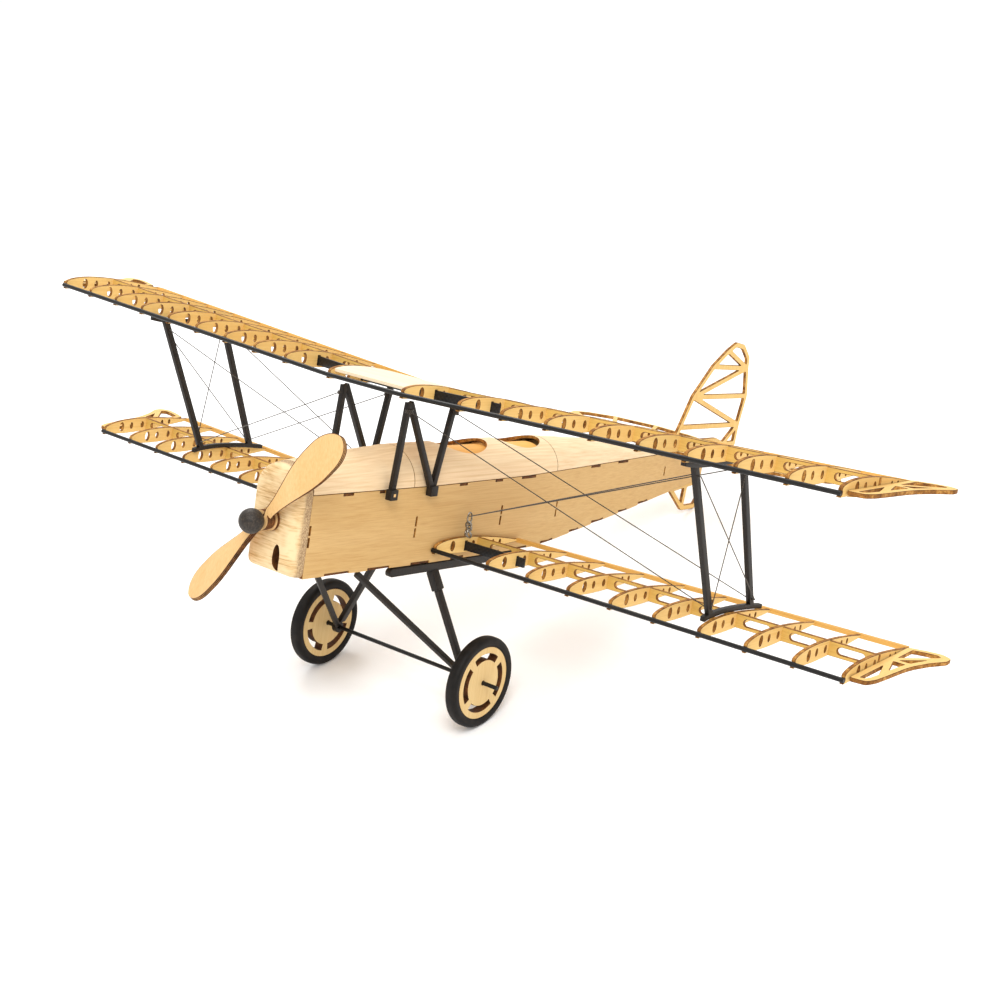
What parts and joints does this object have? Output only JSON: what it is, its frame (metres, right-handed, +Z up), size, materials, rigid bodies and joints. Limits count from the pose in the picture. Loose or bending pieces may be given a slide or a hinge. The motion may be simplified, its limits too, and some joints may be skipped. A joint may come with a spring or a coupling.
{
  "type": "rubber band biplane",
  "caption": "Laser-cut open-frame display biplane with a rubber motor, twin-blade propeller, slotted disc wheels, black struts and thread rigging.",
  "frame": {"origin": "bottom centre of the whole model, on the surface it stands on", "axes": "+X towards the port wing tip, -Y towards the nose, +Z up"},
  "size_m": [0.405, 0.3388, 0.1364],
  "materials": {
    "birch_ply": "laser-cut plywood with browned edges",
    "basswood_ply": "thin pale plywood, fine straight grain",
    "balsa": "sanded balsa",
    "black_stained_ply": "black stain with a dull sheen",
    "carbon_rod": "black pultruded carbon",
    "tyre_rubber": "satin black rubber",
    "bright_steel": "bright wire",
    "dark_thread": "twisted dark thread",
    "tan_rubber": "tan strip rubber",
    "charcoal_paint": "matte charcoal paint"
  },
  "bodies": {
    "airframe": {"axle": "carbon_rod", "bearing_bush": "birch_ply", "bottom_panel": "basswood_ply", "cabane_frame_port": "black_stained_ply", "cabane_frame_starboard": "black_stained_ply", "centre_section_sheet": "balsa", "deck_cockpit": "balsa", "deck_front": "balsa", "deck_rear": "balsa", "fin_rudder": "birch_ply", "former_cabin": "basswood_ply", "former_firewall": "basswood_ply", "former_mid": "basswood_ply", "former_rear": "basswood_ply", "former_tail": "basswood_ply", "gear_leg_front_port": "black_stained_ply", "gear_leg_front_starboard": "black_stained_ply", "gear_leg_rear_port": "black_stained_ply", "gear_leg_rear_starboard": "black_stained_ply", "gear_rail_port": "black_stained_ply", "gear_rail_starboard": "black_stained_ply", "interplane_frame_port": "black_stained_ply", "interplane_frame_starboard": "black_stained_ply", "lower_leading_rod_port": "carbon_rod", "lower_leading_rod_starboard": "carbon_rod", "lower_wing_frame_port": "birch_ply", "lower_wing_frame_starboard": "birch_ply", "lower_wing_joiner": "carbon_rod", "lower_wing_tip_port": "birch_ply", "lower_wing_tip_starboard": "birch_ply", "nose_block": "balsa", "rigging_thread_port": "dark_thread", "rigging_thread_starboard": "dark_thread", "rubber_band": "tan_rubber", "rubber_peg": "balsa", "side_panel_port": "basswood_ply", "side_panel_starboard": "basswood_ply", "tail_skid": "birch_ply", "tailplane": "birch_ply", "tension_chain_port": "bright_steel", "tension_chain_starboard": "bright_steel", "upper_leading_rod": "carbon_rod", "upper_wing_frame_port": "birch_ply", "upper_wing_frame_starboard": "birch_ply", "upper_wing_joiner": "carbon_rod", "upper_wing_tip_port": "birch_ply", "upper_wing_tip_starboard": "birch_ply"},
    "propeller": {"prop_shaft": "bright_steel", "propeller": "birch_ply", "spinner_ball": "charcoal_paint", "thrust_washer": "birch_ply"},
    "wheel_port": {"tyre_port": "tyre_rubber", "wheel_disc_port": "birch_ply"},
    "wheel_starboard": {"tyre_starboard": "tyre_rubber", "wheel_disc_starboard": "birch_ply"}
  },
  "joints": [
    {"name": "propeller_spin", "type": "hinge", "parent": "airframe", "child": "propeller", "pos_m": [0, -0.15752, 0.09999], "axis": [0, 0.96, -0.2799], "continuous": true, "deforming": ["rubber_band"]},
    {"name": "wheel_port_spin", "type": "hinge", "parent": "airframe", "child": "wheel_port", "pos_m": [0.0406, -0.09174, 0.018], "axis": [1, 0, 0], "continuous": true},
    {"name": "wheel_starboard_spin", "type": "hinge", "parent": "airframe", "child": "wheel_starboard", "pos_m": [-0.0406, -0.09174, 0.018], "axis": [1, 0, 0], "continuous": true}
  ]
}
